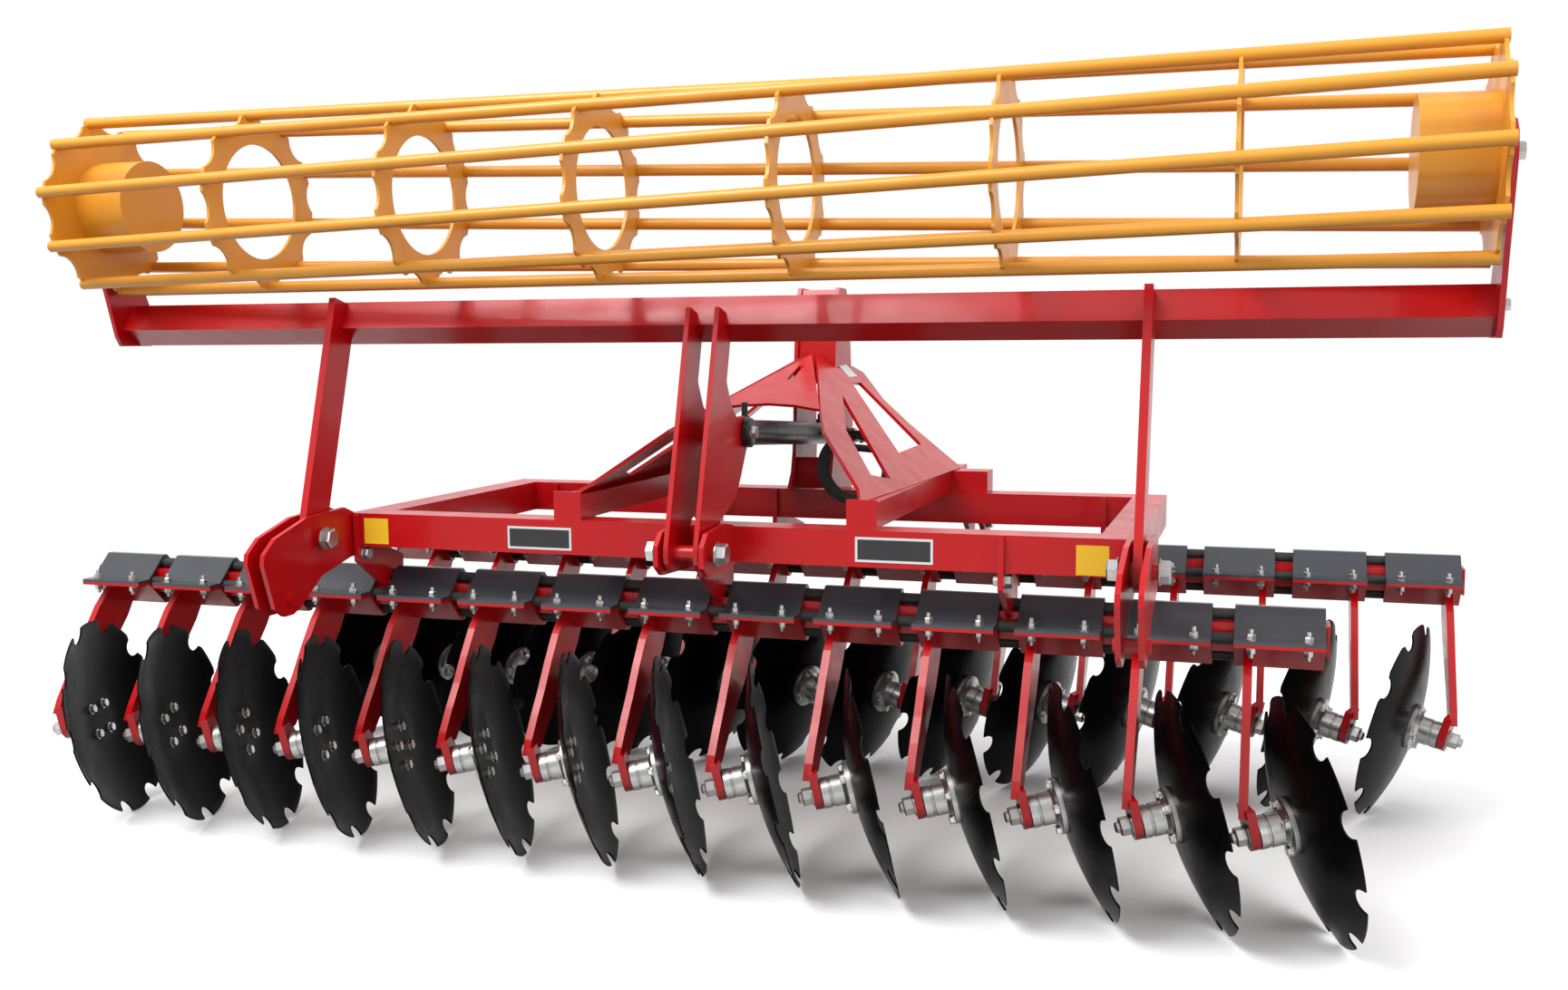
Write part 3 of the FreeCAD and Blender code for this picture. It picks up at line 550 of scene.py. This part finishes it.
# Name, length, route to the coil, Y where the turns start, their first and last angle in degrees.
HOSES = (
    ("hose_a", 1.50, [(0.100, 1.070, 1.000), (0.130, 1.070, 1.000), (0.196, 1.046, 0.996),
                      (0.258, 0.985, 0.990), (0.287, 0.905, 0.985)], 0.835, 0, 700),
    ("hose_b", 1.60, [(0.100, 1.112, 1.000), (0.136, 1.112, 1.000), (0.236, 1.082, 0.982),
                      (0.300, 0.990, 0.952), (0.294, 0.905, 0.935)], 0.8517, 30, 750),
)


def coil_point(first_y, first, angle):
    """A point of a turn, as drawn."""
    turn = math.radians(angle)
    ease = max(0.0, 1 - (angle - first) / ENTRY_ANGLE) ** 2
    y = first_y - TURN_PITCH * (angle - first) / 360 + ENTRY * ease
    return (COIL_X + COIL_R * math.cos(turn), y, COIL_Z - COIL_R * math.sin(turn))


def hose_points(route, first_y, first, last):
    """The control points of a hose: its route and then 15 points for each turn."""
    angles = list(range(first + 20, last, 24)) + [last]
    return route + [coil_point(first_y, first, angle) for angle in angles]


print("points:", [len(hose_points(*row[2:])) for row in HOSES])

# %% [markdown]
# The line is a NURBS spline with a round bevel for the hose's wall. Its order is how many control
# points share in each stretch, and three let it bend without a corner. A Bezier line would do too,
# but each of its points would need two handles.

# %% A smooth hose
def hose_curve(name, points):
    """A round hose along a smooth line with these control points."""
    data = bpy.data.curves.new(name, "CURVE")
    data.dimensions = "3D"
    data.bevel_depth = HOSE / 2
    data.bevel_resolution = 4
    data.resolution_u = 6
    line = data.splines.new("NURBS")
    line.points.add(len(points) - 1)
    for place, point in zip(line.points, points):
        place.co = (*drawn(*point), 1)
    line.order_u = 3
    line.use_endpoint_u = True
    thing = bpy.data.objects.new(name, data)
    scene.collection.objects.link(thing)
    data.materials.append(RUBBER)
    return thing


print("hose across:", HOSE)

# %% [markdown]
# A quick coupler ends each hose, so that it can be plugged into a tractor. It is a crimped sleeve,
# a hexagon and a round nose, all turned, and it looks the way the hose ends.

# %% Couplers and hoses
SLEEVE = [(0.0094, -0.004), (0.0104, 0.0), (0.0104, 0.022), (0.0098, 0.024)]
HEXAGON = [(0.0108, 0.024), (0.0108, 0.036)]
NOSE = [(0.0095, 0.036), (0.0095, 0.052), (0.0075, 0.056)]

for name, length, route, first_y, first, last in HOSES:
    hose = hose_curve(name, hose_points(route, first_y, first, last))
    turn = math.radians(last)
    heading = Vector((-math.sin(turn), 0, -math.cos(turn)))
    end = aimed(drawn(*coil_point(first_y, first, last)), heading)
    shapes = [set_on(turned(SLEEVE, 20), end), set_on(turned(HEXAGON, 6), end),
              set_on(turned(NOSE, 20), end)]
    coupler = piece_from(name + "_coupler", [(merged(shapes), STEEL)], "frame")
    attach(hose, "frame")
    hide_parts("hose_runs", "hose_coil")
print("hoses:", len(HOSES))

# %% [markdown]
# Two blank plates and two blank stickers lie on the rear face of the rear beam. A plate is a thin
# slab rather than a face painted another colour, so that its edge casts a line of shadow, and its
# silver border is a second slab that shows past the dark one.

# %% Blank plates
REAR_FACE_Y = 0.098
# Name, X from and to, Z from and to, finish, thickness.
PLATES = (
    ("plate_left_border", -0.564, -0.381, 0.798, 0.857, SILVER, 0.0012),
    ("plate_left_field", -0.558, -0.387, 0.804, 0.851, PLATE, 0.0018),
    ("plate_right_border", 0.377, 0.569, 0.800, 0.861, SILVER, 0.0012),
    ("plate_right_field", 0.383, 0.563, 0.806, 0.855, PLATE, 0.0018),
    ("sticker_left", -0.998, -0.924, 0.795, 0.864, LABEL, 0.0010),
    ("sticker_right", 0.906, 0.981, 0.790, 0.860, LABEL, 0.0010),
)
SLAB_FACES = [(0, 1, 3, 2), (5, 4, 6, 7), (1, 0, 4, 5), (2, 3, 7, 6), (0, 2, 6, 4), (3, 1, 5, 7)]

for name, x0, x1, z0, z1, finish, thick in PLATES:
    corners = [drawn(x, y, z) for y in (REAR_FACE_Y - thick, REAR_FACE_Y) for z in (z0, z1)
               for x in (x0, x1)]
    piece_from(name, [((corners, SLAB_FACES), finish)], "frame")
print("plates:", len(PLATES))

# %% [markdown]
# The cylinder that swings the roller is a black barrel with a gland at its mouth, where the rod
# comes out, and a screwed port at each end. The CAD barrel gives the place, and these turned
# shapes sit on it and tilt with it.

# %% Gland and ports
PIVOT_Y, PIVOT_Z = -0.052, 0.828
LEVER_REACH, LEVER_ANGLE = 0.406, math.radians(42)
LEVER = Vector((0, PIVOT_Y + LEVER_REACH * math.cos(LEVER_ANGLE),
                PIVOT_Z + LEVER_REACH * math.sin(LEVER_ANGLE)))
ANCHOR = Vector((0, 1.160, 1.040))
GLAND = [(0.034, -0.036), (0.0385, -0.034), (0.0385, -0.002), (0.036, 0.0)]
PORT_FOOT = [(0.014, 0.0), (0.014, 0.012), (0.0085, 0.013)]
PORT_LIFT = Vector((0, 0, 0.030))
# From the lever back to the gland and to the port at the mouth, and from the anchor to the port
# at the foot.
GLAND_BACK, MOUTH_PORT_BACK, FOOT_PORT = 0.064, 0.120, 0.090
MOUTH_PORT_TALL, FOOT_PORT_TALL = 0.050, 0.030

along = (LEVER - ANCHOR).normalized()
reach = (LEVER - ANCHOR).length
shapes = [set_on(turned(GLAND, 40), aimed(ANCHOR + along * (reach - GLAND_BACK) + SHIFT, along))]
for distance, height in ((reach - MOUTH_PORT_BACK, MOUTH_PORT_TALL), (FOOT_PORT, FOOT_PORT_TALL)):
    spot = ANCHOR + along * distance + PORT_LIFT + SHIFT
    shapes.append(set_on(turned(PORT_FOOT + [(0.0085, height)], 20), aimed(spot, (0, 0, 1))))
details = piece_from("cylinder_details", [(merged(shapes), BLACK)], "barrel")
print("cylinder reach:", round(reach, 3))

# %% [markdown]
# A pin holds each end of the cylinder. On the lever a black keeper plate lies round the pin on
# both sides, and a bolt head stands on it. On the mast there are just the heads.

# %% Pin heads
KEEPER = [(0.036, 0.0), (0.038, 0.002), (0.038, 0.016), (0.035, 0.018)]
KEEPER_X, LEVER_HEAD_X, ANCHOR_HEAD_X = 0.0442, 0.0622, 0.072


def heads_at(point, offset, across, height):
    """Bolt heads at both sides of a point, looking outwards."""
    shapes = []
    for side in (-1, 1):
        for shape in bolt(across, height):
            spot = point + Vector((side * offset, 0, 0)) + SHIFT
            shapes.append(set_on(shape, aimed(spot, (side, 0, 0))))
    return merged(shapes)


keepers = []
for side in (-1, 1):
    spot = LEVER + Vector((side * KEEPER_X, 0, 0)) + SHIFT
    keepers.append(set_on(turned(KEEPER, 32), aimed(spot, (side, 0, 0))))
lever_heads = heads_at(LEVER, LEVER_HEAD_X, 0.030, 0.012)
heads = piece_from("lever_pin_heads", [(lever_heads, ZINC), (merged(keepers), BLACK)], "roller_frame")
heads = piece_from("anchor_pin_heads", [(heads_at(ANCHOR, ANCHOR_HEAD_X, 0.034, 0.016), ZINC)], "frame")
print("faces on the anchor's pin heads:", len(heads.data.polygons))

# %% [markdown]
# Between the two mast plates stand webs that keep them apart, one above the cylinder and one
# below it. Each follows the plates' rear edge, so it is a strip with a few bends: four corners at
# each point of the edge, and faces between one four and the next.

# %% Mast webs
WEB_HALF, WEB_THICK = 0.0535, 0.008
# Name, and the rear edge as (Y, Z) points from the bottom up.
WEBS = (
    ("mast_web_top", [(1.017, 1.200), (1.026, 1.300), (1.044, 1.440), (1.066, 1.486)]),
    ("mast_web_foot", [(1.004, 0.880), (0.996, 0.930), (1.010, 0.975)]),
)


def strip(edge):
    """Corners and faces of a web along an edge."""
    corners = [drawn(x, y + depth, z) for y, z in edge for depth in (0.0, WEB_THICK)
               for x in (-WEB_HALF, WEB_HALF)]
    faces = [(0, 1, 3, 2)]
    for k in range(len(edge) - 1):
        a = 4 * k
        faces += [(a, a + 4, a + 5, a + 1), (a + 2, a + 3, a + 7, a + 6), (a, a + 2, a + 6, a + 4),
                  (a + 1, a + 5, a + 7, a + 3)]
    a = 4 * (len(edge) - 1)
    faces.append((a, a + 2, a + 3, a + 1))
    return corners, faces


for name, edge in WEBS:
    web = piece_from(name, [(strip(edge), RED)], "frame", smooth=25)
print("webs:", len(WEBS))

# %% [markdown]
# A blank silver sticker lies near the top of the right fin, which leans like a roof. A point on
# that slope is found from the fin's own plane, so the sticker lies flat on it.

# %% The fin's sticker
FIN_NORMAL = Vector((0.64572, -0.02867, 0.76303)).normalized()
FIN_TOP = Vector((0, 1.020, 1.300))
FIN_HALF = 0.005
STICKER = ((0.056, 1.055), (0.058, 1.135), (0.103, 1.115), (0.101, 1.040))


def on_fin(x, y, lift):
    """The point above (x, y) on the right fin's upper face, raised by lift."""
    z = FIN_TOP.z - (FIN_NORMAL.x * (x - FIN_TOP.x) + FIN_NORMAL.y * (y - FIN_TOP.y)) / FIN_NORMAL.z
    return Vector((x, y, z)) + FIN_NORMAL * (FIN_HALF + lift) + SHIFT


corners = [on_fin(x, y, lift) for lift in (0.0002, 0.0010) for x, y in STICKER]
faces = [(3, 2, 1, 0), (4, 5, 6, 7)] + [(k, (k + 1) % 4, (k + 1) % 4 + 4, k + 4) for k in range(4)]
piece_from("sticker_fin", [((corners, faces), SILVER)], "frame")
print("sticker corners:", len(corners))

# %% [markdown]
# The machine stands on white that has no edge. Brighter lamps would whiten the floor and burn out
# the paint, so the white comes from the floor and the world themselves, and only for rays that
# show them: the camera's own, and those in a gloss or through glass. Soft light sees a darker
# floor, which keeps the undersides deep.

# %% White for the rays that show it
SENT_ON = ("Is Glossy Ray", "Is Transmission Ray")


def shown_rays(tree):
    """1 for the camera's rays and for those that gloss or glass sends on, 0 for soft light."""
    rays = tree.nodes.new("ShaderNodeLightPath")
    shown = rays.outputs["Is Camera Ray"]
    for kind in SENT_ON:
        either = tree.nodes.new("ShaderNodeMath")
        either.operation = "MAXIMUM"
        tree.links.new(shown, either.inputs[0])
        tree.links.new(rays.outputs[kind], either.inputs[1])
        shown = either.outputs[0]
    return shown


def by_ray(tree, soft, shown):
    """A value that is soft for soft light and shown for the rays that show it."""
    mix = tree.nodes.new("ShaderNodeMix")
    mix.inputs["A"].default_value = soft
    mix.inputs["B"].default_value = shown
    tree.links.new(shown_rays(tree), mix.inputs["Factor"])
    return mix


print("rays beside the camera's own:", SENT_ON)

# %% [markdown]
# Near the machine the floor is a matt surface that takes its shadow. Further out it fades into a
# plain glow of strength 1, which is white, so there is no horizon.

# %% The floor
FLOOR_HALF = 60.0
FLOOR_DROP = 0.002
FADE_FROM, FADE_TO = 2.0, 6.5
# What soft light sees of the floor, and what the camera sees.
MATT_SOFT, MATT_SHOWN = 0.16, 0.90
GLOW_SOFT, GLOW_SHOWN = 0.22, 1.0

floor_mesh = bpy.data.meshes.new("floor")
floor_mesh.from_pydata([(-FLOOR_HALF, -FLOOR_HALF, 0), (FLOOR_HALF, -FLOOR_HALF, 0),
                        (FLOOR_HALF, FLOOR_HALF, 0), (-FLOOR_HALF, FLOOR_HALF, 0)], [],
                       [(0, 1, 2, 3)])
floor = bpy.data.objects.new("floor", floor_mesh)
scene.collection.objects.link(floor)
white = bpy.data.materials.new("floor_white")
white.use_nodes = True
tree = white.node_tree
matt = tree.nodes["Principled BSDF"]
matt.inputs["Roughness"].default_value = 0.9
matt.inputs["Specular IOR Level"].default_value = 0.1
tree.links.new(by_ray(tree, MATT_SOFT, MATT_SHOWN).outputs["Result"], matt.inputs["Base Color"])
glow = tree.nodes.new("ShaderNodeEmission")
glow.inputs["Color"].default_value = (1, 1, 1, 1)
tree.links.new(by_ray(tree, GLOW_SOFT, GLOW_SHOWN).outputs["Result"], glow.inputs["Strength"])
place = tree.nodes.new("ShaderNodeTexCoord")
span = tree.nodes.new("ShaderNodeVectorMath")
span.operation = "LENGTH"
tree.links.new(place.outputs["Object"], span.inputs[0])
fade = tree.nodes.new("ShaderNodeMapRange")
fade.interpolation_type = "SMOOTHSTEP"
fade.inputs["From Min"].default_value = FADE_FROM
fade.inputs["From Max"].default_value = FADE_TO
tree.links.new(span.outputs["Value"], fade.inputs["Value"])
blend = tree.nodes.new("ShaderNodeMixShader")
tree.links.new(fade.outputs["Result"], blend.inputs[0])
tree.links.new(matt.outputs[0], blend.inputs[1])
tree.links.new(glow.outputs[0], blend.inputs[2])
tree.links.new(blend.outputs[0], tree.nodes["Material Output"].inputs["Surface"])
floor_mesh.materials.append(white)
floor.location.z = -FLOOR_DROP
print("floor half width:", FLOOR_HALF)

# %% [markdown]
# Outdoors most light comes from above, which is why the tops of red plates look pink and their
# sides deep red. One even sky would flatten that, so the world's soft light grows from the
# horizon up.

# %% The sky
# Soft light from just under the horizon, and from overhead.
SKY_LOW, SKY_HIGH = 0.22, 1.50

world = bpy.data.worlds.new("white")
scene.world = world
world.use_nodes = True
tree = world.node_tree
background = tree.nodes["Background"]
background.inputs["Strength"].default_value = 1.0
place = tree.nodes.new("ShaderNodeTexCoord")
split = tree.nodes.new("ShaderNodeSeparateXYZ")
tree.links.new(place.outputs["Generated"], split.inputs[0])
sky = tree.nodes.new("ShaderNodeMapRange")
sky.inputs["From Min"].default_value = -0.1
sky.inputs["From Max"].default_value = 0.9
sky.inputs["To Min"].default_value = SKY_LOW
sky.inputs["To Max"].default_value = SKY_HIGH
tree.links.new(split.outputs["Z"], sky.inputs["Value"])
seen = by_ray(tree, 0.0, 1.0)
tree.links.new(sky.outputs["Result"], seen.inputs["A"])
tree.links.new(seen.outputs["Result"], background.inputs["Color"])
print("world:", scene.world.name)

# %% [markdown]
# Two wide lamps give the shadows a direction: a key from above and behind the camera's left, and
# a weak fill from the right. Wide lamps make soft shadows, as an overcast day does.

# %% Lamps
AIM_AT = Vector((0, 0, 0.7))
# Name, place, width in metres, power in watts.
LAMPS = (
    ("key", (-3.0, -4.5, 7.5), 4.0, 620),
    ("fill", (5.5, -4.5, 3.0), 4.0, 130),
)
for name, point, width, power in LAMPS:
    lamp = bpy.data.lights.new(name, "AREA")
    lamp.size = width
    lamp.energy = power
    holder = bpy.data.objects.new(name, lamp)
    holder.location = point
    aim = AIM_AT - Vector(point)
    holder.rotation_euler = aim.to_track_quat("-Z", "Y").to_euler()
    scene.collection.objects.link(holder)
print("lamps:", len(LAMPS))

# %% [markdown]
# The camera stands where the photographer stood, behind the machine, to its right and at chest
# height. Its place, turn and lens come from a fit to the spacing of the discs. It could be moved
# by eye, but a fit makes every part line up at once.

# %% Camera
LENS, SENSOR = 34.11, 36.0
YAW, PITCH_DOWN, ROLL = 18.056, 6.077, -0.412
STAND = (1.3187, -3.3435, 1.3433)

camera_data = bpy.data.cameras.new("camera")
camera_data.sensor_width = SENSOR
camera_data.lens = LENS
camera = bpy.data.objects.new("camera", camera_data)
scene.collection.objects.link(camera)
look = (Matrix.Rotation(math.radians(YAW), 4, "Z")
        @ Matrix.Rotation(math.radians(90 - PITCH_DOWN), 4, "X")
        @ Matrix.Rotation(math.radians(ROLL), 4, "Z"))
camera.matrix_world = Matrix.Translation(drawn(*STAND)) @ look
scene.camera = camera
print("camera at", [round(c, 3) for c in camera.location])

# %% [markdown]
# A film look would change the paint's colours, so they are shown as they are.

# %% Colour view
scene.view_settings.view_transform = "Standard"
print("view:", scene.view_settings.view_transform)
